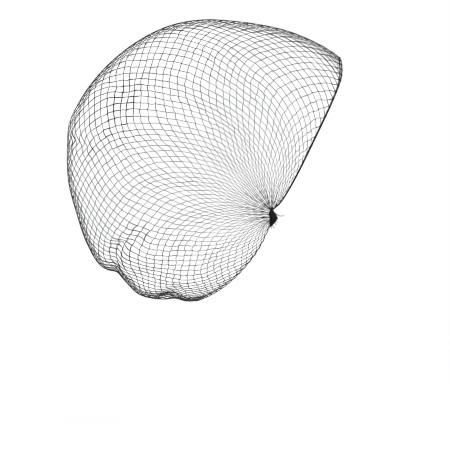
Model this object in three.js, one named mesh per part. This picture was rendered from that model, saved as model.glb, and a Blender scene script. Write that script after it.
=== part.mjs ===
// A fine mesh hairnet in the form it has when it is worn.
//
// Millimetres. +X points to the wearer's face, +Y to the wearer's left, +Z up. The origin is on the
// middle line, on the inner side of the crown, where the net rests.
//
// The bag is swept about the ear axis, the line through both ear gathers. Each section is one curve
// from the right gather over the middle line to the left gather. SECTIONS gives these curves from
// the front edge over the crown and the back to the nape edge. FOLDS gives the dents and lobes.

import * as THREE from 'three';

// ---- sizes -------------------------------------------------------------------------------------

const WALL = 1.2; // thickness of the stretched mesh with its knots
const GAP = 0.35; // clearance between neighbouring pieces
const EAR = { x: 26.2, z: -154.9, halfSpread: 68 }; // the ear axis and the gathers on it
const ROUNDNESS = 2.2; // exponent of the upper, elliptical part of each section

const FRONT_ELASTIC_RADIUS = 0.6;
const NAPE_ELASTIC_RADIUS = 0.5;

const BAG_COLUMNS = 36; // from the front edge to the nape edge
const BAG_ROWS = 40; // from gather to gather
const ELASTIC_STEPS = 72;
const ELASTIC_SIDES = 8;
const ELASTIC_START = 0.006; // share of the section between the eye and the end of an elastic

// angle: about the ear axis, 0 forward and 90 up. reach: ear axis to the middle line. breadth: the
// half breadth, met at the distance "at" from the ear axis. bow: how far the section bends out of
// its plane toward the larger angles.
const SECTIONS = [
  { angle: 64.3, reach: 136.2, breadth: 69, at: 50.7, bow: -4.6 },
  { angle: 68.8, reach: 139.7, breadth: 70.5, at: 53.8, bow: -4.1 },
  { angle: 76.7, reach: 144.1, breadth: 73, at: 60.0, bow: -3.3 },
  { angle: 85.5, reach: 149.2, breadth: 75, at: 67.3, bow: -2.4 },
  { angle: 94.4, reach: 154.4, breadth: 76.5, at: 73.4, bow: -1.4 },
  { angle: 102.2, reach: 160.4, breadth: 78, at: 78.6, bow: -0.5 },
  { angle: 110.1, reach: 167.8, breadth: 79.5, at: 83.6, bow: -0.2 },
  { angle: 118.9, reach: 174.3, breadth: 81.5, at: 88.7, bow: 0.1 },
  { angle: 128.8, reach: 178.2, breadth: 83, at: 92.7, bow: 0.5 },
  { angle: 138.6, reach: 180.5, breadth: 84, at: 95.7, bow: 0.9 },
  { angle: 150.0, reach: 181.6, breadth: 84.5, at: 96.5, bow: 1.3 },
  { angle: 156.4, reach: 180.8, breadth: 84.5, at: 95.4, bow: 1.5 },
  { angle: 163.3, reach: 174.6, breadth: 84, at: 93.2, bow: 1.7 },
  { angle: 171.2, reach: 168.1, breadth: 83, at: 89.0, bow: 2.4 },
  { angle: 180.1, reach: 159.5, breadth: 82, at: 83.7, bow: 3.2 },
  { angle: 189.9, reach: 152.6, breadth: 80.5, at: 76.4, bow: 4.5 },
  { angle: 196.9, reach: 146.5, breadth: 79, at: 68.2, bow: 5.9 },
  { angle: 203.7, reach: 133.6, breadth: 77, at: 56.0, bow: 7.6 },
  { angle: 211.7, reach: 126.8, breadth: 74, at: 39.9, bow: 9.4 },
  { angle: 219.5, reach: 111.5, breadth: 71, at: 23.8, bow: 11.0 },
  { angle: 228.6, reach: 95.3, breadth: 68.3, at: 9.9, bow: 11.8 },
];

// How many degrees the front edge draws back at the brow, and the share of the way from a gather to
// the middle line at which it begins.
const BROW = { draw: 2.6, from: 0.68 };

// How full the bow of a section is: this exponent, which falls from "from" degrees to the nape edge.
const BOW = { front: 3.5, nape: 2.2, from: 185 };

// A dent (depth above 0) or a lobe (depth below 0) along the line x1,z1 to x2,z2 of the side view,
// with its half width. side: -1 on the right side, +1 on the left side, 0 across the middle line,
// where it fades out at the half breadth "fade".
const FOLDS = [
  { side: -1, x1: -80.7, z1: -35.2, x2: -93.7, z2: -55.5, width: 9, depth: 3.2, fade: 0 },
  { side: -1, x1: -93.7, z1: -55.5, x2: -103.6, z2: -94.3, width: 9, depth: 3.6, fade: 0 },
  { side: -1, x1: -111.9, z1: -63.6, x2: -107.7, z2: -88.2, width: 12, depth: -3.6, fade: 0 },
  { side: -1, x1: -138.2, z1: -95.6, x2: -125.9, z2: -100.6, width: 4.5, depth: 3.0, fade: 0 },
  { side: -1, x1: -79.3, z1: -174.9, x2: -97.5, z2: -182.3, width: 6, depth: 3.4, fade: 0 },
  { side: -1, x1: -97.5, z1: -182.3, x2: -103.7, z2: -197.3, width: 6, depth: 4.4, fade: 0 },
  { side: -1, x1: -91.4, z1: -163.1, x2: -107.6, z2: -168.6, width: 13, depth: -3.2, fade: 0 },
  { side: -1, x1: -49.3, z1: -216.2, x2: -60.8, z2: -224.3, width: 6, depth: 3.4, fade: 0 },
  { side: -1, x1: -81.3, z1: -170.9, x2: -83.3, z2: -183.8, width: 7, depth: 2.2, fade: 0 },
  { side: -1, x1: -29, z1: -203, x2: -43.1, z2: -210.8, width: 11, depth: -2.2, fade: 0 },
  { side: 0, x1: -102, z1: -205, x2: -99, z2: -200, width: 6, depth: 2.6, fade: 46 },
  { side: 0, x1: -55, z1: -229, x2: -52, z2: -224, width: 6, depth: 2.0, fade: 40 },
  { side: 1, x1: -70, z1: -40, x2: -98, z2: -70, width: 10, depth: 3.4, fade: 0 },
  { side: 1, x1: -112, z1: -84, x2: -122, z2: -112, width: 11, depth: 3.2, fade: 0 },
  { side: 1, x1: -96, z1: -98, x2: -92, z2: -122, width: 14, depth: -3.4, fade: 0 },
  { side: 1, x1: -72, z1: -168, x2: -96, z2: -188, width: 7, depth: 3.8, fade: 0 },
  { side: 1, x1: -46, z1: -204, x2: -64, z2: -216, width: 7, depth: 3.0, fade: 0 },
];
const FOLD_CENTRE = { x: -28, z: -112 }; // the dents push toward this point on the middle line

// Outline of the tied bunch at an ear, turned about its long axis: height above the ear axis, and
// radius. It is flattened to DEPTH of its width.
const GATHER = [
  { height: -9.8, radius: 0 },
  { height: -9.3, radius: 0.8 },
  { height: -7.9, radius: 1.7 },
  { height: -6.0, radius: 2.6 },
  { height: -3.6, radius: 3.6 },
  { height: -1.4, radius: 3.7 },
  { height: 0.6, radius: 2.9 },
  { height: 1.9, radius: 1.8 },
  { height: 3.0, radius: 2.1 },
  { height: 4.4, radius: 2.2 },
  { height: 5.4, radius: 1.3 },
  { height: 5.8, radius: 0 },
];
const GATHER_SIDES = 14;
const GATHER_DEPTH = 0.8;

// Opening of the bag round each gather: an oval with its centre this far under the ear axis.
const EYE = { drop: 4.6, halfWidth: 5.2, halfHeight: 12.2 };

// ---- the surface of the bag --------------------------------------------------------------------

const FIRST = SECTIONS[0].angle;
const LAST = SECTIONS[SECTIONS.length - 1].angle;

// A smooth curve through one column of a table.
function column(rows, name, angle) {
  let i = 0;
  while (i < rows.length - 2 && angle > rows[i + 1].angle) i += 1;
  const slope = (k) => {
    const a = rows[Math.max(k - 1, 0)];
    const b = rows[Math.min(k + 1, rows.length - 1)];
    return (b[name] - a[name]) / (b.angle - a.angle);
  };
  const lo = rows[i];
  const hi = rows[i + 1];
  const h = hi.angle - lo.angle;
  const t = (angle - lo.angle) / h;
  const t2 = t * t;
  const t3 = t2 * t;
  return (
    (2 * t3 - 3 * t2 + 1) * lo[name] +
    (t3 - 2 * t2 + t) * h * slope(i) +
    (3 * t2 - 2 * t3) * hi[name] +
    (t3 - t2) * h * slope(i + 1)
  );
}

// Distance from the ear axis at which a section starts, at the eye round the gather.
function eyeDistance(radians) {
  const c = Math.cos(radians) / EYE.halfWidth;
  const s = Math.sin(radians) / EYE.halfHeight;
  const d = EYE.drop / EYE.halfHeight;
  const a = c * c + s * s;
  const b = s * d;
  return (-b + Math.sqrt(b * b - a * (d * d - 1))) / a;
}

function smoothstep(t) {
  const k = Math.min(Math.max(t, 0), 1);
  return k * k * (3 - 2 * k);
}

// How far the folds push a point of the bag inward.
function relief(p, breadth) {
  let depth = 0;
  for (const f of FOLDS) {
    const dx = f.x2 - f.x1;
    const dz = f.z2 - f.z1;
    const t = Math.min(Math.max(((p.x - f.x1) * dx + (p.z - f.z1) * dz) / (dx * dx + dz * dz), 0), 1);
    const away = Math.hypot(p.x - f.x1 - t * dx, p.z - f.z1 - t * dz) / f.width;
    const share =
      f.side === 0 ? Math.exp(-((p.y / f.fade) ** 2)) : smoothstep((f.side * p.y) / (0.35 * breadth));
    depth += f.depth * Math.exp(-away * away) * share;
  }
  return depth;
}

// A point of the outer surface. u runs from the front edge (0) to the nape edge (1), v from the
// right gather (0) over the middle line (0.5) to the left gather (1).
function outer(u, v) {
  const w = 1 - Math.abs(2 * v - 1); // 0 at a gather, 1 on the middle line
  const first = FIRST + BROW.draw * smoothstep((w - BROW.from) / (1 - BROW.from));
  const angle = first + (LAST - first) * u;
  const radians = THREE.MathUtils.degToRad(angle);
  const reach = column(SECTIONS, 'reach', angle);
  const breadth = column(SECTIONS, 'breadth', angle);
  const at = column(SECTIONS, 'at', angle);
  const bow = column(SECTIONS, 'bow', angle);
  const start = eyeDistance(radians);
  const side = v < 0.5 ? -1 : 1;

  const lower = Math.max(at - start, 0);
  const upper = 0.82 * (breadth + reach - at);
  const turn = lower / (lower + upper); // share of the section below its half breadth
  let distance;
  let y;
  if (w < turn) {
    distance = start + (at - start) * (w / turn);
    y = breadth - (breadth - EAR.halfSpread) * (1 - distance / at) ** 2;
  } else {
    const from = Math.max(at, start);
    const phi = ((w - turn) / (1 - turn)) * (Math.PI / 2);
    distance = from + (reach - from) * Math.sin(phi) ** (2 / ROUNDNESS);
    y = breadth * Math.max(Math.cos(phi), 0) ** (2 / ROUNDNESS);
  }
  const fullness = BOW.front + (BOW.nape - BOW.front) * smoothstep((angle - BOW.from) / (LAST - BOW.from));
  const bend = bow * (1 - Math.abs((2 * distance) / reach - 1) ** fullness);
  const p = new THREE.Vector3(
    EAR.x + distance * Math.cos(radians) - bend * Math.sin(radians),
    side * y,
    EAR.z + distance * Math.sin(radians) + bend * Math.cos(radians),
  );
  const inward = new THREE.Vector3(FOLD_CENTRE.x - p.x, -p.y, FOLD_CENTRE.z - p.z).normalize();
  return p.addScaledVector(inward, relief(p, breadth));
}

// Direction along the section, direction across it within the surface, and outward normal.
function frame(u, v) {
  const e = 1e-3;
  const u0 = Math.max(u - e, 0);
  const u1 = Math.min(u + e, 1);
  const v0 = Math.max(v - e, 0);
  const v1 = Math.min(v + e, 1);
  const across = outer(u1, v).sub(outer(u0, v)).normalize();
  const along = outer(u, v1).sub(outer(u, v0)).normalize();
  const normal = new THREE.Vector3().crossVectors(across, along).normalize();
  across.crossVectors(along, normal);
  return { across, along, normal };
}

// ---- the pieces --------------------------------------------------------------------------------

// The bag: an outer and an inner skin, closed round the two edges and the two eyes.
function bagGeometry() {
  const n = BAG_COLUMNS + 1;
  const m = BAG_ROWS + 1;
  const positions = [];
  for (const depth of [0, WALL]) {
    for (let i = 0; i < n; i += 1) {
      for (let j = 0; j < m; j += 1) {
        const u = i / BAG_COLUMNS;
        const v = j / BAG_ROWS;
        const p = outer(u, v).addScaledVector(frame(u, v).normal, -depth);
        positions.push(p.x, p.y, p.z);
      }
    }
  }
  const skin = n * m;
  const at = (i, j, inner) => i * m + j + (inner ? skin : 0);
  const triangles = [];
  const quad = (a, b, c, d) => triangles.push(a, b, c, a, c, d);
  for (let i = 0; i < n - 1; i += 1) {
    for (let j = 0; j < m - 1; j += 1) {
      quad(at(i, j, false), at(i + 1, j, false), at(i + 1, j + 1, false), at(i, j + 1, false));
      quad(at(i, j, true), at(i, j + 1, true), at(i + 1, j + 1, true), at(i + 1, j, true));
    }
  }
  for (let j = 0; j < m - 1; j += 1) {
    quad(at(0, j, false), at(0, j + 1, false), at(0, j + 1, true), at(0, j, true));
    quad(at(n - 1, j + 1, false), at(n - 1, j, false), at(n - 1, j, true), at(n - 1, j + 1, true));
  }
  for (let i = 0; i < n - 1; i += 1) {
    quad(at(i + 1, 0, false), at(i, 0, false), at(i, 0, true), at(i + 1, 0, true));
    quad(at(i, m - 1, false), at(i + 1, m - 1, false), at(i + 1, m - 1, true), at(i, m - 1, true));
  }
  const geometry = new THREE.BufferGeometry();
  geometry.setAttribute('position', new THREE.Float32BufferAttribute(positions, 3));
  geometry.setIndex(triangles);
  geometry.computeVertexNormals();
  return geometry;
}

// An elastic: a round cord laid along one edge of the bag, clear of its rim and of the gathers.
function elasticGeometry(u, radius) {
  const outward = u === 0 ? -1 : 1;
  const points = [];
  for (let k = 0; k <= 48; k += 1) {
    const v = ELASTIC_START + (1 - 2 * ELASTIC_START) * (k / 48);
    const { across, normal } = frame(u, v);
    points.push(
      outer(u, v)
        .addScaledVector(normal, -WALL / 2)
        .addScaledVector(across, outward * (radius + GAP)),
    );
  }
  const path = new THREE.CatmullRomCurve3(points, false, 'centripetal');
  const section = new THREE.Shape();
  for (let k = 0; k < ELASTIC_SIDES; k += 1) {
    const a = (2 * Math.PI * (k + 0.5)) / ELASTIC_SIDES;
    const x = radius * Math.cos(a);
    const y = radius * Math.sin(a);
    if (k === 0) section.moveTo(x, y);
    else section.lineTo(x, y);
  }
  section.closePath();
  return new THREE.ExtrudeGeometry(section, {
    steps: ELASTIC_STEPS,
    bevelEnabled: false,
    extrudePath: path,
  });
}

// The bunch of meshes tied at an ear, its long axis upright.
function gatherGeometry() {
  const profile = GATHER.map(({ height, radius }) => new THREE.Vector2(radius, height));
  return new THREE.LatheGeometry(profile, GATHER_SIDES).scale(1, 1, GATHER_DEPTH).rotateX(Math.PI / 2);
}

// ---- materials ---------------------------------------------------------------------------------

const threadMaterial = new THREE.MeshStandardMaterial({
  name: 'black_nylon_thread',
  color: new THREE.Color(0.03, 0.03, 0.034),
  roughness: 0.6,
  metalness: 0,
});
const elasticMaterial = new THREE.MeshStandardMaterial({
  name: 'black_elastic',
  color: new THREE.Color(0.018, 0.018, 0.02),
  roughness: 0.65,
  metalness: 0,
});

// ---- assembly ----------------------------------------------------------------------------------

function piece(name, geometry, material) {
  const mesh = new THREE.Mesh(geometry, material);
  mesh.name = name;
  return mesh;
}

const hairnet = new THREE.Group();
hairnet.name = 'hairnet';

hairnet.add(piece('net_bag', bagGeometry(), threadMaterial));
hairnet.add(piece('front_elastic', elasticGeometry(0, FRONT_ELASTIC_RADIUS), elasticMaterial));
hairnet.add(piece('nape_elastic', elasticGeometry(1, NAPE_ELASTIC_RADIUS), elasticMaterial));

for (const [name, side] of [['ear_gather_right', -1], ['ear_gather_left', 1]]) {
  const gather = piece(name, gatherGeometry(), elasticMaterial);
  gather.position.set(EAR.x, side * EAR.halfSpread, EAR.z);
  hairnet.add(gather);
}

export default hairnet;
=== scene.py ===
"""Looks of the worn mesh hairnet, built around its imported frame. Blender units are metres.

The net is a diamond net of single knotted strands. It follows the surface that the frame's bag has, from the
front edge over the crown to the nape edge, and comes together in a tied bunch at each ear.
"""

import math

import bpy
import numpy as np
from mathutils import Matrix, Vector


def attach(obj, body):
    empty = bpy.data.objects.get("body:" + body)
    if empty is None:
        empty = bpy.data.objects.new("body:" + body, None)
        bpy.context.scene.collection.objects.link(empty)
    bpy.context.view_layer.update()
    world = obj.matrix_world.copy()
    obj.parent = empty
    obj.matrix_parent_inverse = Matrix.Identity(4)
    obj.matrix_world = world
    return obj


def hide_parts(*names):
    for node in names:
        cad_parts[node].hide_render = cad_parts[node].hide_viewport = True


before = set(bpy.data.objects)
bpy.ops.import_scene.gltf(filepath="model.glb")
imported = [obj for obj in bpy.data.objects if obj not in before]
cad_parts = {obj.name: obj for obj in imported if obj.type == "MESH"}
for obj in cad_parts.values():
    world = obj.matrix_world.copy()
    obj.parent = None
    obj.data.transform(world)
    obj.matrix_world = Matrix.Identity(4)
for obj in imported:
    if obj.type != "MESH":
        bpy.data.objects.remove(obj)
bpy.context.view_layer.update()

MM = 0.001

# ------------------------------------------------------------------------------------------------
# camera, as the first thing
# ------------------------------------------------------------------------------------------------

# level, and straight across from the gathers, so that the left gather lies behind the right one
CAMERA_AT = np.array([26.2, -2400.0, -154.9]) * MM
CAMERA_AIM = np.array([-12.3, 0.0, -164.8]) * MM
FIELD = 369 * MM  # width seen at the aim
CAMERA_DISTANCE = float(np.linalg.norm(CAMERA_AIM - CAMERA_AT))

cam_data = bpy.data.cameras.new("camera")
cam_data.sensor_width = 36.0
cam_data.lens = 36.0 * CAMERA_DISTANCE / FIELD
cam_data.clip_start = 0.05
cam_data.clip_end = 60.0
cam = bpy.data.objects.new("camera", cam_data)
cam.location = CAMERA_AT
cam.rotation_euler = Vector(CAMERA_AIM - CAMERA_AT).to_track_quat("-Z", "Y").to_euler()
bpy.context.scene.collection.objects.link(cam)
bpy.context.scene.camera = cam

# ------------------------------------------------------------------------------------------------
# the surface of the bag: the same sections and folds as the frame
# ------------------------------------------------------------------------------------------------

EAR_X, EAR_Z, EAR_SPREAD = 26.2, -154.9, 68.0
ROUNDNESS = 2.2

# angle, reach, breadth, at, bow
SECTIONS = np.array([
    (64.3, 136.2, 69.0, 50.7, -4.6),
    (68.8, 139.7, 70.5, 53.8, -4.1),
    (76.7, 144.1, 73.0, 60.0, -3.3),
    (85.5, 149.2, 75.0, 67.3, -2.4),
    (94.4, 154.4, 76.5, 73.4, -1.4),
    (102.2, 160.4, 78.0, 78.6, -0.5),
    (110.1, 167.8, 79.5, 83.6, -0.2),
    (118.9, 174.3, 81.5, 88.7, 0.1),
    (128.8, 178.2, 83.0, 92.7, 0.5),
    (138.6, 180.5, 84.0, 95.7, 0.9),
    (150.0, 181.6, 84.5, 96.5, 1.3),
    (156.4, 180.8, 84.5, 95.4, 1.5),
    (163.3, 174.6, 84.0, 93.2, 1.7),
    (171.2, 168.1, 83.0, 89.0, 2.4),
    (180.1, 159.5, 82.0, 83.7, 3.2),
    (189.9, 152.6, 80.5, 76.4, 4.5),
    (196.9, 146.5, 79.0, 68.2, 5.9),
    (203.7, 133.6, 77.0, 56.0, 7.6),
    (211.7, 126.8, 74.0, 39.9, 9.4),
    (219.5, 111.5, 71.0, 23.8, 11.0),
    (228.6, 95.3, 68.3, 9.9, 11.8),
])
FIRST, LAST = SECTIONS[0, 0], SECTIONS[-1, 0]

# the dents and lobes: fade in mm from the middle line (0: one on each side), x1, z1, x2, z2, width, depth
FOLDS = np.array([
    (0, -80.7, -35.2, -93.7, -55.5, 9, 3.2),
    (0, -93.7, -55.5, -103.6, -94.3, 9, 3.6),
    (0, -111.9, -63.6, -107.7, -88.2, 12, -3.6),
    (0, -138.2, -95.6, -125.9, -100.6, 4.5, 3),
    (0, -79.3, -174.9, -97.5, -182.3, 6, 3.4),
    (0, -97.5, -182.3, -103.7, -197.3, 6, 4.4),
    (0, -91.4, -163.1, -107.6, -168.6, 13, -3.2),
    (0, -49.3, -216.2, -60.8, -224.3, 6, 3.4),
    (0, -81.3, -170.9, -83.3, -183.8, 7, 2.2),
    (0, -29, -203, -43.1, -210.8, 11, -2.2),
    (46, -102, -205, -99, -200, 6, 2.6),
    (40, -55, -229, -52, -224, 6, 2),
])
FOLD_X, FOLD_Z = -28.0, -112.0
EYE = 2400.0  # how far to the right of the middle plane the net is seen from
BROW_DRAW, BROW_FROM = 2.6, 0.68  # degrees by which the front edge draws back at the brow, and where it begins


def table_curve(xs, ys, x):
    """A smooth curve through the rows of a table."""
    x = np.clip(x, xs[0], xs[-1])
    i = np.clip(np.searchsorted(xs, x, side="right") - 1, 0, len(xs) - 2)
    k = np.arange(len(xs))
    a, b = np.maximum(k - 1, 0), np.minimum(k + 1, len(xs) - 1)
    slope = (ys[b] - ys[a]) / (xs[b] - xs[a])
    h = xs[i + 1] - xs[i]
    t = (x - xs[i]) / h
    t2, t3 = t * t, t * t * t
    return ((2 * t3 - 3 * t2 + 1) * ys[i] + (t3 - 2 * t2 + t) * h * slope[i]
            + (3 * t2 - 2 * t3) * ys[i + 1] + (t3 - t2) * h * slope[i + 1])


def smoothstep(t):
    t = np.clip(t, 0, 1)
    return t * t * (3 - 2 * t)


def section_point(angle, w, side):
    """A point of the outer surface, in mm. w runs from 0 at the ear axis to 1 on the middle line."""
    a = SECTIONS[:, 0]
    reach, breadth, at, bow = (table_curve(a, SECTIONS[:, c], angle) for c in (1, 2, 3, 4))
    rad = np.radians(angle)
    upper = 0.82 * (breadth + reach - at)
    turn = at / (at + upper)
    low = w < turn
    d_low = at * (w / turn)
    y_low = breadth - (breadth - EAR_SPREAD) * (1 - d_low / at) ** 2
    phi = np.clip((w - turn) / (1 - turn), 0, 1) * (math.pi / 2)
    d_up = at + (reach - at) * np.sin(phi) ** (2 / ROUNDNESS)
    y_up = breadth * np.maximum(np.cos(phi), 0) ** (2 / ROUNDNESS)
    d = np.where(low, d_low, d_up)
    y = np.where(low, y_low, y_up)
    fullness = 3.5 - 1.3 * smoothstep((angle - 185.0) / (LAST - 185.0))
    bend = bow * (1 - np.abs(2 * d / reach - 1) ** fullness)
    p = np.stack([EAR_X + d * np.cos(rad) - bend * np.sin(rad), side * y,
                  EAR_Z + d * np.sin(rad) + bend * np.cos(rad)], axis=-1)
    depth = np.zeros(p.shape[:-1])
    # seen from the right, level with the gathers, the dents of the left side lie behind those of the right side
    behind = (EYE - p[..., 1]) / (EYE + p[..., 1]) if side > 0 else 1.0
    qx, qz = EAR_X + (p[..., 0] - EAR_X) * behind, EAR_Z + (p[..., 2] - EAR_Z) * behind
    for fade, x1, z1, x2, z2, width, deep in FOLDS:
        dx, dz = x2 - x1, z2 - z1
        t = np.clip(((qx - x1) * dx + (qz - z1) * dz) / (dx * dx + dz * dz), 0, 1)
        away = np.hypot(qx - x1 - t * dx, qz - z1 - t * dz) / width
        share = np.exp(-(p[..., 1] / fade) ** 2) if fade else smoothstep(side * p[..., 1] / (0.35 * breadth))
        depth += deep * np.exp(-away * away) * share
    inward = np.stack([FOLD_X - p[..., 0], -p[..., 1], FOLD_Z - p[..., 2]], axis=-1)
    inward /= np.linalg.norm(inward, axis=-1, keepdims=True)
    return p + inward * depth[..., None]


# ------------------------------------------------------------------------------------------------
# the layout of the net: columns run from ear to ear, rows cross them
# ------------------------------------------------------------------------------------------------

COLUMNS = 49  # whole diamonds from the front edge to the nape edge
ROWS = 42  # half diamonds from an ear to the middle line
MESH_SIDE = 6.9  # length of one strand between knots, mm
THREAD_RADIUS = 0.21
DEPTH = 0.55  # how far under the outer surface the strands lie

# Width of one diamond, in degrees about the ear axis: near the ear and near the middle line.
PITCH = np.array([
    (64.3, 3.70, 4.20),
    (68.0, 3.60, 4.50),
    (74.0, 3.60, 4.90),
    (80.0, 3.60, 4.90),
    (86.0, 3.70, 4.70),
    (92.0, 3.80, 4.40),
    (98.0, 3.85, 3.90),
    (104.0, 3.90, 3.30),
    (110.0, 3.62, 3.10),
    (116.0, 3.35, 3.05),
    (122.0, 3.42, 3.05),
    (128.0, 3.50, 3.05),
    (134.0, 3.50, 3.10),
    (140.0, 3.50, 3.15),
    (146.0, 3.62, 3.10),
    (152.0, 3.75, 3.10),
    (158.0, 3.58, 3.10),
    (164.0, 3.40, 3.10),
    (170.0, 3.40, 3.10),
    (176.0, 3.40, 3.15),
    (182.0, 3.50, 3.20),
    (188.0, 3.60, 3.25),
    (194.0, 3.67, 3.30),
    (200.0, 3.75, 3.20),
    (206.0, 3.83, 3.00),
    (212.0, 3.90, 2.85),
    (218.0, 4.15, 2.90),
    (224.0, 4.40, 3.20),
    (228.6, 4.50, 3.50),
])

fine = np.linspace(FIRST, LAST, 1200)


def column_angles(col):
    """The angle of column 0..COLUMNS, by the widths in one column of PITCH."""
    rate = 1.0 / table_curve(PITCH[:, 0], PITCH[:, col], fine)
    total = np.concatenate([[0], np.cumsum((rate[1:] + rate[:-1]) / 2)])
    return total / total[-1] * COLUMNS


NEAR_COUNT = column_angles(1)
FAR_COUNT = column_angles(2)

def under(angle, w, side, depth=DEPTH):
    """The point at this depth under the outer surface, and the surface's normal there."""
    p = section_point(angle, w, side)
    e = 0.35
    pa = section_point(np.clip(angle + e, FIRST, LAST), w, side) - section_point(np.clip(angle - e, FIRST, LAST), w, side)
    pw = section_point(angle, np.clip(w + 0.004, 0, 1), side) - section_point(angle, np.clip(w - 0.004, 0, 1), side)
    n = np.cross(pa, pw) * (-side)
    n /= np.maximum(np.linalg.norm(n, axis=-1, keepdims=True), 1e-9)
    return p - n * depth, n


CAMERA_MM = CAMERA_AT / MM
FORWARD = (CAMERA_AIM - CAMERA_AT) / CAMERA_DISTANCE
RIGHTWARD = np.cross(FORWARD, [0.0, 0.0, 1.0])
RIGHTWARD /= np.linalg.norm(RIGHTWARD)
UPWARD = np.cross(RIGHTWARD, FORWARD)


def flat(p):
    """Where a point lies in the plane of the picture, in mm."""
    d = p - CAMERA_MM
    k = CAMERA_DISTANCE / MM / (d @ FORWARD)
    return np.stack([(d @ RIGHTWARD) * k, (d @ UPWARD) * k], axis=-1)


# Row spacing: as seen from the side it is even around the ear and closes up toward the middle line.
# Columns: share of the way out, spacing at the front, over the top, at the back and at the nape.
SPACING = np.array([
    (0.00, 7.20, 7.00, 6.75, 6.90),
    (0.35, 7.10, 6.95, 6.65, 6.80),
    (0.47, 6.70, 6.75, 6.40, 6.30),
    (0.58, 6.05, 6.20, 5.85, 5.20),
    (0.70, 4.95, 5.45, 4.80, 4.05),
    (0.83, 3.10, 4.30, 3.15, 3.10),
    (0.90, 2.30, 3.60, 2.65, 2.70),
    (1.00, 1.70, 3.00, 2.20, 2.30),
])
ZONES = np.array([64.3, 96.0, 118.0, 134.0, 158.0, 185.0, 203.0, 228.6])
ZONE_COLUMN = np.array([1, 1, 2, 2, 3, 3, 4, 4], float)

GRID_A = np.linspace(FIRST, LAST, 180)
GRID_W = np.linspace(0, 1, 361)
ROW_TABLE = np.zeros((len(GRID_A), 4 * ROWS + 1))


def row_table():
    """The place w of each quarter row on each section."""
    A, W = np.meshgrid(GRID_A, GRID_W, indexing="ij")
    P, _ = under(A, W, -1)
    step = np.linalg.norm(np.diff(P, axis=1), axis=-1)
    Q = flat(P)
    out = np.hypot(Q[..., 0] - Q[:, :1, 0], Q[..., 1] - Q[:, :1, 1])
    reach = out.max(axis=1, keepdims=True)
    seen = np.maximum(np.diff(out, axis=1), 0.0)
    mid = (out[:, 1:] + out[:, :-1]) / 2 / reach
    zone = np.interp(GRID_A, ZONES, ZONE_COLUMN)
    for k in range(len(GRID_A)):
        c = int(min(math.floor(zone[k]), 3))
        f = zone[k] - c
        spacing = (table_curve(SPACING[:, 0], SPACING[:, c], mid[k]) * (1 - f)
                   + table_curve(SPACING[:, 0], SPACING[:, c + 1], mid[k]) * f)
        along = step[k]
        wanted = spacing * along / np.maximum(seen[k], 1e-3)
        past = np.maximum.accumulate(seen[k] < 0.02 * along)
        wanted = np.where(past, 1e3, wanted)
        lo, hi = 1.0, 40.0
        for _ in range(40):
            cap = (lo + hi) / 2
            real = 1.0 / (1.0 / np.maximum(wanted, 1e-3) ** 4 + 1.0 / cap ** 4) ** 0.25
            total = np.sum(along / real)
            if total > ROWS:
                lo = cap
            else:
                hi = cap
        rows = np.concatenate([[0], np.cumsum(along / real)])
        rows *= ROWS / rows[-1]
        ROW_TABLE[k] = np.interp(np.linspace(0, ROWS, 4 * ROWS + 1), rows, GRID_W)
        CAPS.append((float(GRID_A[k]), cap))
    # even out from section to section
    for _ in range(6):
        ROW_TABLE[1:-1] = ROW_TABLE[1:-1] * 0.5 + (ROW_TABLE[:-2] + ROW_TABLE[2:]) * 0.25


CAPS = []
row_table()


def w_of(angle, row):
    """The place w on the section at this angle where this row crosses it."""
    a = np.clip((angle - FIRST) / (LAST - FIRST) * (len(GRID_A) - 1), 0, len(GRID_A) - 1 - 1e-9)
    r = np.clip(row * 4, 0, 4 * ROWS - 1e-9)
    i, j = a.astype(int), r.astype(int)
    fa, fr = a - i, r - j
    T = ROW_TABLE
    return ((T[i, j] * (1 - fa) + T[i + 1, j] * fa) * (1 - fr) + (T[i, j + 1] * (1 - fa) + T[i + 1, j + 1] * fa) * fr)


def drift(col, row):
    """The slow wander of the real net: small shifts of columns and rows, none at the edges."""
    edge = np.sin(np.pi * np.clip(col / COLUMNS, 0, 1)) ** 0.5
    open_ = smoothstep(row / 12.0)
    dc = 0.16 * np.sin(0.41 * col + 0.23 * row + 0.7) + 0.12 * np.sin(0.83 * col - 0.31 * row + 2.2)
    dr = 0.17 * np.sin(0.52 * col - 0.19 * row + 1.3) + 0.11 * np.sin(0.29 * col + 0.47 * row + 4.0)
    fade = smoothstep((ROWS - row) / 5.0)
    return dc * edge * open_ * fade, dr * open_ * fade * edge


def gather_up(col, row):
    """Near a gather the strands draw together into small bundles: the shift in columns."""
    k = 0.62 * (1 - smoothstep((row - 0.6) / 6.2)) * smoothstep(col / 2.5) * smoothstep((COLUMNS - col) / 2.5)
    return k * (0.62 * np.sin(2 * math.pi * col / 3.7 + 0.9) + 0.38 * np.sin(2 * math.pi * col / 2.3 + 2.1)
                + 0.35 * np.sin(2 * math.pi * col / 7.9 + 4.0))


def place(col, row, turn=0.0, step=0.0):
    """The angle and the place w of a point of the net, col 0..COLUMNS, row 0 at the ear..ROWS on the middle line,
    shifted by turn degrees and step rows."""
    dc, dr = drift(col, row)
    c, r = col + dc + gather_up(col, row), np.clip(row + dr, 0, ROWS)
    near = np.interp(c, NEAR_COUNT, fine)
    far = np.interp(c, FAR_COUNT, fine)
    share = smoothstep((row / ROWS - 0.2) / 0.36)
    angle = near + (far - near) * share
    w = w_of(angle, np.clip(r + step, 0, ROWS))
    angle = angle + BROW_DRAW * smoothstep((w - BROW_FROM) / (1 - BROW_FROM)) * (LAST - angle) / (LAST - FIRST)
    return np.clip(angle + turn, FIRST, LAST), w


# The left side isn't quite a mirror image of the right one: its meshes lie a little further out, so that seen level
# with the gathers they fall behind those of the right side. SLIDE holds the shifts in degrees and in rows, at every half
# column and every row. Both fade to nothing at the gather and on the middle line, the one in degrees also at both edges.
SLIDE = np.zeros((2, 2 * COLUMNS + 1, ROWS + 1))


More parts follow.
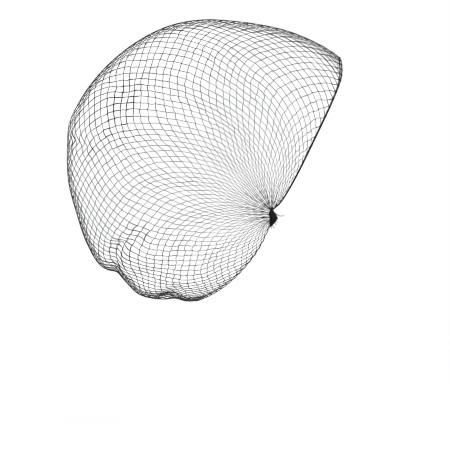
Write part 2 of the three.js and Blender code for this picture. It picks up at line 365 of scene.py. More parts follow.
def slide_table():
    col, row = np.meshgrid(np.arange(2 * COLUMNS + 1) / 2, np.arange(ROWS + 1.0), indexing="ij")
    angle, w = place(col, row)
    first = FIRST + BROW_DRAW * smoothstep((w - BROW_FROM) / (1 - BROW_FROM))
    p, _ = under(angle, w, -1)
    target = flat(p)
    a, v = angle.copy(), w.copy()
    for _ in range(12):
        here = flat(under(a, v, 1)[0])
        ea, ev = 0.25, 0.002
        a2 = np.where(a + ea > LAST, a - ea, a + ea)
        v2 = np.where(v + ev > 1, v - ev, v + ev)
        ja = (flat(under(a2, v, 1)[0]) - here) / (a2 - a)[..., None]
        jv = (flat(under(a, v2, 1)[0]) - here) / (v2 - v)[..., None]
        det = ja[..., 0] * jv[..., 1] - ja[..., 1] * jv[..., 0]
        det = np.where(np.abs(det) < 1.0, np.where(det < 0, -1.0, 1.0), det)
        e = target - here
        da = (e[..., 0] * jv[..., 1] - e[..., 1] * jv[..., 0]) / det
        dv = (ja[..., 0] * e[..., 1] - ja[..., 1] * e[..., 0]) / det
        a = np.clip(a + np.clip(da, -3, 3), first, LAST)
        v = np.clip(v + np.clip(dv, -0.03, 0.03), 0.0, 1.0)
    wide = np.abs(p[..., 1])
    inner = smoothstep((wide - 39.0) / 12.0) * smoothstep((row - 1.0) / 4.0)
    trust = np.stack([inner * smoothstep(col / 2.6) * smoothstep((COLUMNS - col) / 2.6), inner])
    # the shift in rows that gives this w, by halving
    lowest, highest = np.full_like(w, -3.5), np.full_like(w, 3.5)
    for _ in range(24):
        middle = (lowest + highest) / 2
        short = place(col, row, 0.0, middle)[1] < v
        lowest, highest = np.where(short, middle, lowest), np.where(short, highest, middle)
    step = (lowest + highest) / 2
    wanted = np.stack([np.clip(a - place(col, row, 0.0, step)[0], -6, 6), np.clip(step, -3.4, 3.4)])
    # evened out, so that the dents of the one side don't show as kinks in the meshes of the other
    share = trust + 1e-6
    f = wanted * share
    for axis, times in ((1, 2), (2, 1)):
        for _ in range(times):
            for q in (f, share):
                r = np.moveaxis(q, axis, 0)
                r[1:-1] = 0.5 * r[1:-1] + 0.25 * (r[:-2] + r[2:])
    wanted = f / share
    weight = 30.0 * trust
    f = wanted * trust
    for _ in range(900):
        g = np.zeros_like(f)
        g[:, 1:-1, 1:-1] = f[:, 2:, 1:-1] + f[:, :-2, 1:-1] + f[:, 1:-1, 2:] + f[:, 1:-1, :-2]
        g[1, 0], g[1, -1] = 4 * f[1, 1], 4 * f[1, -2]  # along both edges the knots slide with their neighbours
        f = (weight * wanted + g) / (weight + 4.0)
        f[0, 0], f[0, -1], f[:, :, 0], f[:, :, -1] = 0, 0, 0, 0
    SLIDE[:] = f


slide_table()


def slid(col, row):
    """The shifts of SLIDE at a point of the net."""
    x = np.clip(col * 2, 0, 2 * COLUMNS - 1e-9)
    y = np.clip(row, 0, ROWS - 1e-9)
    i, j = x.astype(int), y.astype(int)
    fx, fy = x - i, y - j
    T = SLIDE
    return ((T[:, i, j] * (1 - fx) + T[:, i + 1, j] * fx) * (1 - fy)
            + (T[:, i, j + 1] * (1 - fx) + T[:, i + 1, j + 1] * fx) * fy)


def net_point(col, row, side, depth=DEPTH):
    """The place in mm of a point of the net: col 0..COLUMNS, row 0 at the ear..ROWS on the middle line."""
    angle, w = place(col, row, *slid(col, row)) if side > 0 else place(col, row)
    p, n = under(angle, w, side, depth)
    # the meshes enter the tied bunch along its length
    pull = np.clip(1 - row / 3.6, 0, 1) ** 2
    along = np.interp(angle, [FIRST, 100.0, 140.0, 180.0, LAST], [2.6, 3.6, 2.0, -1.8, -9.0])
    ahead = np.interp(angle, [FIRST, 100.0, 140.0, 180.0, LAST], [-0.1, -0.3, -0.8, -0.5, -0.8])
    p = p + np.stack([ahead * pull, side * 0.6 * pull, along * pull], axis=-1)
    return p, n


# ------------------------------------------------------------------------------------------------
# mesh helpers
# ------------------------------------------------------------------------------------------------

def make_object(name, verts, polys_flat, poly_sizes, material, smooth=True):
    """A mesh object from numpy arrays: vertices in mm, loop indices, and the size of each face."""
    mesh = bpy.data.meshes.new(name)
    n, m = len(verts), len(poly_sizes)
    mesh.vertices.add(n)
    mesh.vertices.foreach_set("co", (np.asarray(verts, np.float64) * MM).astype(np.float32).ravel())
    mesh.loops.add(len(polys_flat))
    mesh.loops.foreach_set("vertex_index", np.asarray(polys_flat, np.int32))
    mesh.polygons.add(m)
    starts = np.concatenate([[0], np.cumsum(poly_sizes)[:-1]]).astype(np.int32)
    mesh.polygons.foreach_set("loop_start", starts)
    mesh.polygons.foreach_set("use_smooth", np.full(m, smooth))
    mesh.update(calc_edges=True)
    mesh.validate()
    mesh.materials.append(material)
    ob = bpy.data.objects.new(name, mesh)
    bpy.context.scene.collection.objects.link(ob)
    return ob


class Builder:
    """Collects many closed small bodies into one mesh."""

    def __init__(self):
        self.v, self.f, self.s, self.n = [], [], [], 0

    def add(self, verts, faces, sizes):
        self.v.append(verts)
        self.f.append(faces + self.n)
        self.s.append(sizes)
        self.n += len(verts)

    def tubes(self, paths, radius, sides=5, up=None, closed=False):
        """Round threads along many paths of equal length: paths (k, m, 3), radius a number, (k,) or (k, m)."""
        paths = np.asarray(paths, float)
        k, m, _ = paths.shape
        if closed:
            t = np.roll(paths, -1, 1) - np.roll(paths, 1, 1)
        else:
            t = np.empty_like(paths)
            t[:, 1:-1] = paths[:, 2:] - paths[:, :-2]
            t[:, 0] = paths[:, 1] - paths[:, 0]
            t[:, -1] = paths[:, -1] - paths[:, -2]
        t /= np.maximum(np.linalg.norm(t, axis=-1, keepdims=True), 1e-9)
        if up is None:
            # carried along the path, so that the section doesn't turn over
            ref = np.where(np.abs(t[:, :1, 2:3]) < 0.8, np.array([0, 0, 1.0]), np.array([1.0, 0, 0]))
            u = np.empty_like(paths)
            cur = ref[:, 0]
            for q in range(m):
                cur = cur - t[:, q] * np.sum(cur * t[:, q], axis=-1, keepdims=True)
                cur /= np.maximum(np.linalg.norm(cur, axis=-1, keepdims=True), 1e-9)
                u[:, q] = cur
        else:
            u = up - t * np.sum(up * t, axis=-1, keepdims=True)
            u /= np.maximum(np.linalg.norm(u, axis=-1, keepdims=True), 1e-9)
        b = np.cross(t, u)
        r = np.broadcast_to(np.asarray(radius, float).reshape((-1, 1) if np.ndim(radius) == 1 else np.shape(radius) or (1, 1)), (k, m))
        a = np.arange(sides) * 2 * math.pi / sides
        ring = (paths[:, :, None, :] + r[:, :, None, None] * (np.cos(a)[None, None, :, None] * u[:, :, None, :]
                                                              + np.sin(a)[None, None, :, None] * b[:, :, None, :]))
        verts = ring.reshape(-1, 3)
        seg = m if closed else m - 1
        q0 = np.arange(seg)
        s0 = np.arange(sides)
        i = (q0[:, None] * sides + s0[None, :])
        j = (q0[:, None] * sides + (s0[None, :] + 1) % sides)
        nx = (((q0 + 1) % m)[:, None] * sides)
        quads = np.stack([i, j, nx + (s0[None, :] + 1) % sides, nx + s0[None, :]], axis=-1).reshape(-1, 4)
        base = (np.arange(k) * m * sides)[:, None, None]
        allq = (quads[None] + base).reshape(-1)
        sizes = np.full(k * len(quads), 4)
        if closed:
            self.add(verts, allq, sizes)
            return
        cap0 = (np.arange(sides)[::-1])[None, :] + base[:, :, 0]
        cap1 = (np.arange(sides) + (m - 1) * sides)[None, :] + base[:, :, 0]
        self.add(verts, np.concatenate([allq, cap0.ravel(), cap1.ravel()]),
                 np.concatenate([sizes, np.full(2 * k, sides)]))

    def beads(self, centre, axis, up, half_length, half_width, sides=5):
        """Small long knots: centre, axis and up (k, 3), half sizes (k,)."""
        k = len(centre)
        axis = axis / np.maximum(np.linalg.norm(axis, axis=-1, keepdims=True), 1e-9)
        u = up - axis * np.sum(up * axis, axis=-1, keepdims=True)
        u /= np.maximum(np.linalg.norm(u, axis=-1, keepdims=True), 1e-9)
        b = np.cross(axis, u)
        stations = np.array([-0.72, 0.0, 0.72])
        widths = np.array([0.66, 1.0, 0.66])
        a = np.arange(sides) * 2 * math.pi / sides
        rings = (centre[:, None, None, :] + axis[:, None, None, :] * (stations[None, :, None, None] * half_length[:, None, None, None])
                 + (widths[None, :, None, None] * half_width[:, None, None, None])
                 * (np.cos(a)[None, None, :, None] * u[:, None, None, :] + np.sin(a)[None, None, :, None] * b[:, None, None, :]))
        tips = np.stack([centre - axis * half_length[:, None], centre + axis * half_length[:, None]], axis=1)
        m = len(stations)
        verts = np.concatenate([rings.reshape(k, -1, 3), tips], axis=1)
        per = m * sides + 2
        quads, tris = [], []
        for q in range(m - 1):
            for s in range(sides):
                quads.append([q * sides + s, q * sides + (s + 1) % sides, (q + 1) * sides + (s + 1) % sides, (q + 1) * sides + s])
        for s in range(sides):
            tris.append([m * sides, (s + 1) % sides, s])
            tris.append([m * sides + 1, (m - 1) * sides + s, (m - 1) * sides + (s + 1) % sides])
        quads, tris = np.array(quads), np.array(tris)
        base = (np.arange(k) * per)[:, None, None]
        faces = np.concatenate([(quads[None] + base).reshape(-1), (tris[None] + base).reshape(-1)])
        sizes = np.concatenate([np.full(k * len(quads), 4), np.full(k * len(tris), 3)])
        self.add(verts.reshape(-1, 3), faces, sizes)

    def object(self, name, material, smooth=True):
        return make_object(name, np.concatenate(self.v), np.concatenate(self.f), np.concatenate(self.s), material, smooth)


# ------------------------------------------------------------------------------------------------
# materials
# ------------------------------------------------------------------------------------------------

def thread_material(name, dark, light, roughness, twist_mm, sheen=0.25):
    """Black nylon yarn: uneven dye along the threads, fine twist, and a soft gloss."""
    mat = bpy.data.materials.new(name)
    mat.use_nodes = True
    nt = mat.node_tree
    n, l = nt.nodes, nt.links
    bsdf = n["Principled BSDF"]
    coord = n.new("ShaderNodeTexCoord")

    broad = n.new("ShaderNodeTexNoise")
    broad.inputs["Scale"].default_value = 34.0
    broad.inputs["Detail"].default_value = 3.0
    l.new(coord.outputs["Object"], broad.inputs["Vector"])
    small = n.new("ShaderNodeTexNoise")
    small.inputs["Scale"].default_value = 900.0
    small.inputs["Detail"].default_value = 2.0
    l.new(coord.outputs["Object"], small.inputs["Vector"])
    mix = n.new("ShaderNodeMath")
    mix.operation = "MULTIPLY_ADD"
    mix.inputs[1].default_value = 0.55
    l.new(small.outputs["Fac"], mix.inputs[0])
    half = n.new("ShaderNodeMath")
    half.operation = "MULTIPLY"
    half.inputs[1].default_value = 0.45
    l.new(broad.outputs["Fac"], half.inputs[0])
    l.new(half.outputs[0], mix.inputs[2])
    ramp = n.new("ShaderNodeValToRGB")
    ramp.color_ramp.elements[0].position = 0.36
    ramp.color_ramp.elements[0].color = (*dark, 1)
    ramp.color_ramp.elements[1].position = 0.66
    ramp.color_ramp.elements[1].color = (*light, 1)
    l.new(mix.outputs[0], ramp.inputs["Fac"])
    l.new(ramp.outputs["Color"], bsdf.inputs["Base Color"])

    rough = n.new("ShaderNodeMapRange")
    rough.inputs["To Min"].default_value = roughness - 0.08
    rough.inputs["To Max"].default_value = roughness + 0.10
    l.new(small.outputs["Fac"], rough.inputs["Value"])
    l.new(rough.outputs["Result"], bsdf.inputs["Roughness"])

    wave = n.new("ShaderNodeTexWave")
    wave.wave_type = "BANDS"
    wave.bands_direction = "DIAGONAL"
    wave.inputs["Scale"].default_value = 1.0 / (twist_mm * MM) * 0.32
    wave.inputs["Distortion"].default_value = 3.0
    wave.inputs["Detail"].default_value = 1.0
    l.new(coord.outputs["Object"], wave.inputs["Vector"])
    bump = n.new("ShaderNodeBump")
    bump.inputs["Strength"].default_value = 0.35
    bump.inputs["Distance"].default_value = 0.00006
    l.new(wave.outputs["Fac"], bump.inputs["Height"])
    l.new(bump.outputs["Normal"], bsdf.inputs["Normal"])

    bsdf.inputs["Specular IOR Level"].default_value = 0.13
    bsdf.inputs["Sheen Weight"].default_value = sheen
    bsdf.inputs["Sheen Roughness"].default_value = 0.45
    bsdf.inputs["Sheen Tint"].default_value = (0.75, 0.78, 0.82, 1)
    return mat


mat_thread = thread_material("net_thread", (0.004, 0.004, 0.0045), (0.022, 0.0215, 0.022), 0.50, 0.5, 0.03)
mat_elastic = thread_material("edge_elastic", (0.003, 0.003, 0.0035), (0.013, 0.013, 0.0135), 0.56, 0.35, 0.02)
mat_tied = thread_material("tied_thread", (0.002, 0.002, 0.0025), (0.009, 0.0088, 0.009), 0.54, 0.45, 0.015)

# ------------------------------------------------------------------------------------------------
# the net
# ------------------------------------------------------------------------------------------------

rng = np.random.default_rng(20811)
NC = 2 * COLUMNS  # half columns
SEG = 4  # pieces of each strand

# A small seeded shift for every knot, shared by the strands that meet there.
shift = rng.normal(0, 1, (NC + 1, ROWS + 1, 2))


def jitter(hc, row, side):
    """Shift of a knot in columns and rows."""
    d = shift[hc, row]
    edge = np.where((hc == 0) | (hc == NC), 0.0, 1.0)
    grow = smoothstep((row - 1) / 8.0)
    middle = np.where(row == ROWS, 0.0, 1.0)
    return 0.035 * d[..., 0] * edge * grow, 0.055 * d[..., 1] * grow * middle


pieces = {}
strand_parts = {}
knot_parts = Builder()
all_slack = []

for side in (-1, 1):
    rng = np.random.default_rng(4471)
    hc, row = np.meshgrid(np.arange(NC + 1), np.arange(ROWS + 1), indexing="ij")
    even = (hc + row) % 2 == 0
    starts_h, starts_r, ends_h, ends_r = [], [], [], []
    for dh in (-1, 1):
        ok = even & (row < ROWS) & (hc + dh >= 0) & (hc + dh <= NC)
        starts_h.append(hc[ok])
        starts_r.append(row[ok])
        ends_h.append(hc[ok] + dh)
        ends_r.append(row[ok] + 1)
    h0, r0, h1, r1 = (np.concatenate(x) for x in (starts_h, starts_r, ends_h, ends_r))
    jc0, jr0 = jitter(h0, r0, side)
    jc1, jr1 = jitter(h1, r1, side)
    t = np.linspace(0, 1, SEG + 1)
    col = ((h0 / 2 + jc0)[:, None] * (1 - t) + (h1 / 2 + jc1)[:, None] * t)
    rw = ((r0 + jr0)[:, None] * (1 - t) + (r1 + jr1)[:, None] * t)
    p, nrm = net_point(col, rw, side)
    # a strand whose knots lie nearer than its own length bends aside
    chord = np.linalg.norm(p[:, -1] - p[:, 0], axis=-1)
    slack = np.clip(1 - chord / MESH_SIDE, 0, 1) * smoothstep((r0 - 5) / 6.0)
    across = np.cross(nrm[:, SEG // 2], p[:, -1] - p[:, 0]) * (-side)
    across /= np.maximum(np.linalg.norm(across, axis=-1, keepdims=True), 1e-9)
    sway = rng.normal(0, 1, len(h0))
    bend = (0.10 + 0.16 * rng.random(len(h0))) * sway * 0.6 * smoothstep(r0 / 6.0) + np.clip(slack, 0, 0.45) * 1.3 * np.sign(sway)
    wob = rng.normal(0, 1, len(h0)) * 0.10 * smoothstep(r0 / 6.0)
    p = p + across[:, None, :] * (bend[:, None] * np.sin(math.pi * t) + wob[:, None] * np.sin(2 * math.pi * t))[..., None]
    radius = THREAD_RADIUS * (1 + 0.10 * rng.normal(0, 1, len(h0))).clip(0.75, 1.3)
    drawn = 0.62 + 0.38 * smoothstep((rw - 3.0) / 22.0)
    radius = radius[:, None] * drawn
    keep = (r0 > 0) | (h0 % 4 == 0)  # right at the bunch every second pair of strands lies under its neighbour
    b = Builder()
    b.tubes(p[keep], radius[keep], 5, up=nrm[keep])
    strand_parts[side] = b
    all_slack.append((side, len(h0), float(np.mean(chord)), float(np.percentile(chord, 5)), float(np.percentile(chord, 95))))
    # knots: none in the bunch, smaller near it, one set on the middle line
    ok = even & (row >= 3) & ((row < ROWS) | (side < 0))
    kh, kr = hc[ok], row[ok]
    jc, jr = jitter(kh, kr, side)
    c0, n0 = net_point(kh / 2 + jc, kr + jr, side)
    c1, _ = net_point(kh / 2 + jc, np.clip(kr + jr + 0.2, 0, ROWS), side)
    c2, _ = net_point(kh / 2 + jc, np.clip(kr + jr - 0.2, 0, ROWS), side)
    ax = c1 - c2
    size = (0.58 + 0.42 * smoothstep((kr - 3) / 18.0)) * (1 + 0.12 * rng.normal(0, 1, len(kh))).clip(0.7, 1.4)
    knot_parts.beads(c0, ax, n0, 0.60 * size, 0.38 * size)

pieces["net_strands_right"] = strand_parts[-1].object("net_strands_right", mat_thread)
pieces["net_strands_left"] = strand_parts[1].object("net_strands_left", mat_thread)
pieces["net_knots"] = knot_parts.object("net_knots", mat_thread)
for name in ("net_strands_right", "net_strands_left", "net_knots"):
    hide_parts("net_bag")


# ------------------------------------------------------------------------------------------------
# the edges
# ------------------------------------------------------------------------------------------------

def edge_frame(col, rows_signed):
    """Points along an edge column and their directions: rows_signed from -ROWS (right ear) to ROWS (left ear)."""
    side = np.where(rows_signed < 0, -1, 1)
    r = ROWS - np.abs(rows_signed)
    out_p = np.empty((len(r), 3))
    out_n = np.empty((len(r), 3))
    for s in (-1, 1):
        k = side == s
        if k.any():
            out_p[k], out_n[k] = net_point(np.full(k.sum(), float(col)), r[k], s)
    t = np.gradient(out_p, axis=0)
    t /= np.linalg.norm(t, axis=-1, keepdims=True)
    return out_p, out_n, t


def helix(path, normal, tangent, radius, turns, phase):
    """A ply laid round a path."""
    length = np.concatenate([[0], np.cumsum(np.linalg.norm(np.diff(path, axis=0), axis=-1))])
    b = np.cross(tangent, normal)
    a = 2 * math.pi * turns * length / length[-1] + phase
    return path + radius * (np.cos(a)[:, None] * normal + np.sin(a)[:, None] * b)


def resample(path, n):
    length = np.concatenate([[0], np.cumsum(np.linalg.norm(np.diff(path, axis=0), axis=-1))])
    s = np.linspace(0, length[-1], n)
    return np.stack([np.interp(s, length, path[:, k]) for k in range(3)], axis=-1), length[-1]


# front: a twisted elastic just outside the first column, bound to a thin edge thread
EDGE_FROM = 0.12  # rows left out at each ear, inside the bunch
rows_f = np.linspace(-ROWS + EDGE_FROM, ROWS - EDGE_FROM, 700)
fp, fn, ft = edge_frame(0, rows_f)
f_out = np.cross(ft, fn)  # in the surface, square to the edge
if f_out[350, 0] < 0:
    f_out = -f_out
f_away = smoothstep((ROWS - np.abs(rows_f)) / 2.4)[:, None]  # the edge cords run into the bunch
front_path = fp + f_out * 0.62 * f_away + fn * (DEPTH - 0.6)
front_path, front_len = resample(front_path, 760)
ft2 = np.gradient(front_path, axis=0)
ft2 /= np.linalg.norm(ft2, axis=-1, keepdims=True)
fn2, _ = resample(fn, 760)
fn2 -= ft2 * np.sum(fn2 * ft2, axis=-1, keepdims=True)
fn2 /= np.linalg.norm(fn2, axis=-1, keepdims=True)
b = Builder()
for k in range(3):
    ply = helix(front_path, fn2, ft2, 0.20, front_len / 3.2, 2 * math.pi * k / 3)
    b.tubes(ply[None], 0.225, 8, up=fn2[None])
pieces["front_elastic_cord"] = b.object("front_elastic_cord", mat_elastic)

# the edge thread inside it, and a small lashing at each edge knot
sel_rows = np.linspace(-ROWS + EDGE_FROM, ROWS - EDGE_FROM, 600)
sp, sn, st = edge_frame(0, sel_rows)
s_out = np.cross(st, sn)
if s_out[300, 0] < 0:
    s_out = -s_out
swing = np.abs(np.sin(math.pi * (ROWS - np.abs(sel_rows)) / 2.0)) * 0.22
sel = sp + s_out * (0.14 - swing)[:, None]
b = Builder()
b.tubes(sel[None], 0.17, 6, up=sn[None])
knot_rows = np.arange(-ROWS + 2, ROWS - 1)
knot_rows = knot_rows[((ROWS - np.abs(knot_rows)) % 2) == 0].astype(float)
kp, kn, kt = edge_frame(0, np.sort(knot_rows))
k_out = np.cross(kt, kn)
if k_out[len(k_out) // 2, 0] < 0:
    k_out = -k_out
kc = kp + k_out * 0.62 + kn * (DEPTH - 0.6)
loops = []
for c, o, nn, tt, p0 in zip(kc, k_out, kn, kt, kp):
    a = np.linspace(0, 2 * math.pi, 15)[:-1]
    lean = rng.normal(0, 0.18)
    pts = c + 0.58 * (np.cos(a)[:, None] * o + np.sin(a)[:, None] * nn) + (np.sin(a)[:, None] * lean * 0.5 + 0.25 * np.cos(a)[:, None] * lean) * tt
    pull = (np.cos(a) < -0.5)
    pts[pull] -= o * 0.25
    loops.append(pts)
b.tubes(np.array(loops), 0.15, 5, closed=True)
pieces["front_edge_thread"] = b.object("front_edge_thread", mat_thread)

# nape: a thinner cord that bows out between the edge knots
rows_n = np.linspace(-ROWS + EDGE_FROM, ROWS - EDGE_FROM, 900)
np_, nn_, nt_ = edge_frame(COLUMNS, rows_n)
n_out = np.cross(nt_, nn_)
inner_p, _, _ = edge_frame(COLUMNS - 0.5, rows_n)
if np.sum(n_out[450] * (np_ - inner_p)[450]) < 0:
    n_out = -n_out
scallop = np.sin(math.pi * (ROWS - np.abs(rows_n) + 0.0) / 2.0) ** 2
n_away = smoothstep((ROWS - np.abs(rows_n)) / 2.4)
nape_path = np_ + n_out * ((0.22 + 0.55 * scallop) * n_away)[:, None] + nn_ * (DEPTH - 0.6)
nape_path, nape_len = resample(nape_path, 900)
nt2 = np.gradient(nape_path, axis=0)
nt2 /= np.linalg.norm(nt2, axis=-1, keepdims=True)
nn2, _ = resample(nn_, 900)
nn2 -= nt2 * np.sum(nn2 * nt2, axis=-1, keepdims=True)
nn2 /= np.linalg.norm(nn2, axis=-1, keepdims=True)
b = Builder()
for k in range(2):
    ply = helix(nape_path, nn2, nt2, 0.15, nape_len / 2.6, math.pi * k)
    b.tubes(ply[None], 0.175, 7, up=nn2[None])
pieces["nape_cord"] = b.object("nape_cord", mat_elastic)

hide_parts("front_elastic")
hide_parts("front_elastic")
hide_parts("nape_elastic")

# ------------------------------------------------------------------------------------------------
# the tied bunch at each ear
# ------------------------------------------------------------------------------------------------

# height over the ear axis, half width, how far forward its middle lies
BUNCH = np.array([(-11.4, 0.25, -1.40), (-10.4, 0.70, -1.10), (-9.4, 1.25, -0.60), (-8.2, 1.75, -0.05), (-6.8, 2.10, 0.42), (-5.2, 2.42, 0.80),
                  (-3.6, 2.62, 0.92), (-2.0, 2.55, 0.70), (-0.6, 2.25, 0.30), (0.7, 1.80, 0.00), (1.8, 1.28, -0.15), (2.7, 1.00, -0.15),
                  (3.4, 1.12, -0.12), (4.0, 1.00, -0.10), (4.5, 0.60, -0.10), (4.7, 0.20, -0.10)])


def bunch(side, name):
    local = np.random.default_rng(77 if side < 0 else 78)
    b = Builder()

    def place(p):
        """From the bunch's own frame (x forward, y outward, z up) to the row frame."""
        return np.stack([EAR_X + p[..., 0], side * (EAR_SPREAD + 0.2 + p[..., 1]), EAR_Z + p[..., 2]], axis=-1)

    # broad lumps, so that the outline isn't even
    lumps = [(local.uniform(0, 6.3), local.uniform(0, 6.3), local.uniform(0.4, 1.1), n) for n in (1, 2, 2, 3, 4, 5)]

    def hull(z, a, grow=1.0):
        r = table_curve(BUNCH[:, 0], BUNCH[:, 1], z) * grow
        lean = table_curve(BUNCH[:, 0], BUNCH[:, 2], z)
        uneven = sum(0.06 * np.sin(n * a + rate * z + start) for start, _, rate, n in lumps)
        r = r * (1 + uneven * smoothstep((3.2 - z) / 3.0))
        return np.stack([r * np.cos(a) + lean, 0.95 * r * np.sin(a), z], axis=-1)

    # the dense heart, under the loops
    z = np.linspace(-11.2, 4.6, 64)
    a = np.arange(36) * 2 * math.pi / 36
    Z, A = np.meshgrid(z, a, indexing="ij")
    heart = place(hull(Z, A, 0.80 + 0.05 * np.sin(7 * A - 1.7 * Z) + 0.05 * np.sin(11 * A + 2.9 * Z)))
    m, k = heart.shape[:2]
    i = np.arange(m - 1)[:, None] * k
    j = np.arange(k)[None, :]
    quads = np.stack([i + j, i + (j + 1) % k, i + k + (j + 1) % k, i + k + j], axis=-1).reshape(-1, 4)
    caps = [np.arange(k)[::-1], np.arange(k) + (m - 1) * k]
    if side > 0:
        quads = quads[:, ::-1]
        caps = [c[::-1] for c in caps]
    b.add(heart.reshape(-1, 3), np.concatenate([quads.ravel(), *caps]), np.concatenate([np.full(len(quads), 4), [k, k]]))

    # loops of the gathered meshes: they run down the bunch from its neck, turn and come back
    loops = []
    for q in range(96):
        a0 = local.uniform(0, 2 * math.pi)
        low = -10.8 + 8.6 * local.random() ** 1.3
        high = local.uniform(0.4, 4.4)
        t = np.linspace(0, 1, 26)
        zz = high + (low - high) * (0.5 - 0.5 * np.cos(2 * math.pi * t)) + 0.22 * np.sin(9 * t + local.uniform(0, 6))
        apart = local.uniform(0.25, 1.0)
        aa = a0 + apart * np.sin(2 * math.pi * t) * (1 + 0.5 * np.sin(math.pi * t)) + 0.35 * np.sin(5 * t + local.uniform(0, 6))
        grow = 0.90 + 0.17 * np.sin(math.pi * t) ** 2 + 0.05 * np.sin(13 * t + local.uniform(0, 6)) + local.normal(0, 0.04)
        loops.append(hull(np.clip(zz, -11.2, 4.6), aa, grow))
    b.tubes(place(np.array(loops)), local.uniform(0.12, 0.18, len(loops)), 5)

    # strands that cross over them, each its own way
    cross = []
    for q in range(34):
        a0, z0 = local.uniform(0, 2 * math.pi), local.uniform(-8.6, 0.4)
        t = np.linspace(-1, 1, 18)
        aa = a0 + t * local.uniform(0.5, 1.5)
        zz = z0 + t * local.normal(0, 1.7) + 0.5 * np.sin(2.4 * t + local.uniform(0, 6))
        cross.append(hull(np.clip(zz, -11.2, 4.6), aa, 1.03 + 0.07 * (1 - t * t) - 0.16 * t ** 4))
    b.tubes(place(np.array(cross)), local.uniform(0.11, 0.16, len(cross)), 5)

    # loops that stand off the bunch, most of them in front and below, short and thin
    tufts = []
    for q in range(38):
        a0 = local.normal(0.3, 1.1)
        z0 = local.uniform(-9.6, 0.6)
        t = np.linspace(0, 1, 15)
        out = 0.95 + local.uniform(0.14, 0.52) * np.sin(math.pi * t) ** 0.8
        zz = z0 - local.uniform(0.4, 2.2) * t + local.normal(0, 0.5) * np.sin(math.pi * t)
        tufts.append(hull(np.clip(zz, -11.2, 4.6), a0 + local.normal(0, 0.55) * t + local.normal(0, 0.3) * np.sin(2 * math.pi * t), out))
    b.tubes(place(np.array(tufts)), local.uniform(0.09, 0.13, len(tufts)), 5)

    # the tying thread: close turns round the neck, and a few loose ones lower down
    t = np.linspace(0, 1, 190)
    turns = 6
    zz = 1.95 + 1.15 * t + 0.16 * np.sin(2 * math.pi * turns * t * 0.5 + 0.6)
    b.tubes(place(hull(zz, 2 * math.pi * turns * t, 1.15))[None], 0.17, 6)
    t = np.linspace(0, 1, 150)
    zz = 1.6 - 5.6 * t + 0.7 * np.sin(2 * math.pi * 2.6 * t + 1.9)
    b.tubes(place(hull(zz, 2 * math.pi * 2.6 * t + 1.0, 1.08))[None], 0.15, 5)

    # loose ends of the tying thread
    ends = [
        (0.15, [(2.4, 1.5, 0.3), (3.4, 2.0, -0.7), (4.8, 2.5, -1.7), (6.3, 2.8, -2.4), (7.8, 2.8, -2.6), (9.1, 2.6, -2.3), (10.0, 2.4, -1.8)]),
        (0.15, [(-1.0, 0.8, -9.6), (-1.6, 1.3, -10.8), (-2.5, 1.8, -11.9), (-3.1, 2.0, -13.0), (-3.0, 2.0, -13.9)]),
        (0.13, [(0.0, 1.0, -9.0), (0.7, 1.6, -10.4), (1.5, 2.0, -11.4), (2.1, 2.1, -11.9)]),
        (0.12, [(2.6, 1.0, -4.4), (3.5, 1.6, -5.3), (4.2, 2.0, -6.6), (4.4, 2.1, -7.7)]),
        (0.11, [(1.8, 1.2, -7.4), (2.8, 1.7, -8.0), (3.4, 2.0, -9.0), (3.1, 2.1, -9.9)]),
        (0.11, [(-0.4, 1.4, -10.2), (-0.2, 1.9, -11.4), (-0.7, 2.2, -12.4)]),
    ]
    for radius, pts in ends:
        pts = np.array(pts, float)
        s = np.linspace(0, len(pts) - 1, 6 * (len(pts) - 1) + 1)
        x = np.arange(len(pts))
        smooth = np.stack([table_curve(x.astype(float), pts[:, k], s) for k in range(3)], axis=-1)
        if side > 0:
            smooth = smooth * np.array([0.9, 1.0, 1.1]) + np.array([0.0, 0.0, 0.3]) * (s / s[-1])[:, None]
        taper = radius * np.clip((s[-1] - s) / 0.5 + 0.45, 0.45, 1)
        b.tubes(place(smooth)[None], taper[None], 6)
    return b.object(name, mat_tied)


for side, node in ((-1, "ear_gather_right"), (1, "ear_gather_left")):
    ob = bunch(side, node + "_bunch")
    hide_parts(node)
    pieces[ob.name] = ob

for ob in pieces.values():
    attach(ob, "root")

# ------------------------------------------------------------------------------------------------
# floor and light
# ------------------------------------------------------------------------------------------------

FLOOR_Z = -334.6 * MM
bpy.ops.mesh.primitive_circle_add(vertices=96, radius=14.0, fill_type="NGON", location=(0, 0, FLOOR_Z))
floor = bpy.context.object
floor.name = "floor"
fm = bpy.data.materials.new("floor")
fm.use_nodes = True
nt = fm.node_tree
n, l = nt.nodes, nt.links
bsdf = n["Principled BSDF"]
bsdf.inputs["Base Color"].default_value = (0.70, 0.70, 0.70, 1)
bsdf.inputs["Roughness"].default_value = 0.9
bsdf.inputs["Specular IOR Level"].default_value = 0.1
coord = n.new("ShaderNodeTexCoord")
noise = n.new("ShaderNodeTexNoise")
noise.inputs["Scale"].default_value = 420.0
noise.inputs["Detail"].default_value = 3.0
l.new(coord.outputs["Object"], noise.inputs["Vector"])
bump = n.new("ShaderNodeBump")
bump.inputs["Strength"].default_value = 0.05
bump.inputs["Distance"].default_value = 0.0003
l.new(noise.outputs["Fac"], bump.inputs["Height"])
l.new(bump.outputs["Normal"], bsdf.inputs["Normal"])
length = n.new("ShaderNodeVectorMath")
length.operation = "LENGTH"
l.new(coord.outputs["Object"], length.inputs[0])
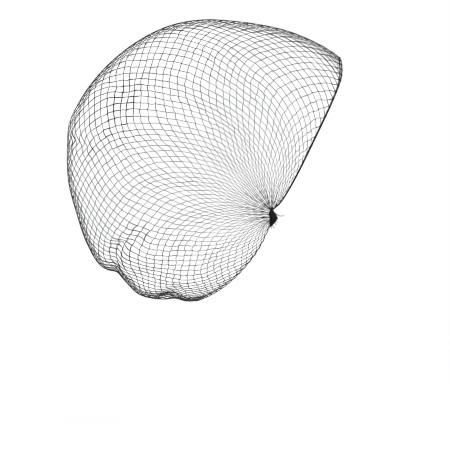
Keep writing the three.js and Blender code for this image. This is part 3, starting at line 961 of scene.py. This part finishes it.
far = n.new("ShaderNodeMapRange")
far.interpolation_type = "SMOOTHSTEP"
far.inputs["From Min"].default_value = 0.35
far.inputs["From Max"].default_value = 1.6
l.new(length.outputs["Value"], far.inputs["Value"])
glow = n.new("ShaderNodeEmission")
glow.inputs["Color"].default_value = (1, 1, 1, 1)
glow.inputs["Strength"].default_value = 1.0
blend = n.new("ShaderNodeMixShader")
l.new(far.outputs["Result"], blend.inputs["Fac"])
l.new(bsdf.outputs["BSDF"], blend.inputs[1])
l.new(glow.outputs["Emission"], blend.inputs[2])
l.new(blend.outputs["Shader"], n["Material Output"].inputs["Surface"])
floor.data.materials.append(fm)


def area(name, location, target, size, power, color=(1, 1, 1)):
    data = bpy.data.lights.new(name, "AREA")
    data.shape = "DISK"
    data.size = size
    data.energy = power
    data.color = color
    ob = bpy.data.objects.new(name, data)
    ob.location = location
    direction = np.array(target) - np.array(location)
    ob.rotation_euler = Vector(direction).to_track_quat("-Z", "Y").to_euler()
    bpy.context.scene.collection.objects.link(ob)
    return ob


centre = (-0.02, 0.0, -0.11)
area("key", (0.9, -1.6, 1.5), centre, 1.6, 30)
area("fill", (-1.8, -1.2, 0.7), centre, 1.8, 14)
area("back", (-0.4, 1.9, 1.3), centre, 1.6, 16)

world = bpy.data.worlds.new("world")
world.use_nodes = True
world.node_tree.nodes["Background"].inputs["Color"].default_value = (1.0, 1.0, 1.0, 1)
world.node_tree.nodes["Background"].inputs["Strength"].default_value = 1.0
bpy.context.scene.world = world

scene = bpy.context.scene
scene.view_settings.view_transform = "Standard"
scene.view_settings.look = "None"
scene.view_settings.exposure = 0.0
scene.view_settings.gamma = 1.0
scene.cycles.filter_width = 1.1

for name, ob in pieces.items():
    me = ob.data
    tris = int(sum(len(p.vertices) - 2 for p in me.polygons)) if len(me.polygons) < 1000 else int(len(me.loops) - 2 * len(me.polygons))
    print("piece", name, "triangles", tris)
print("strands", all_slack)
print("caps", [(round(a), round(c, 1)) for a, c in CAPS[::9]])
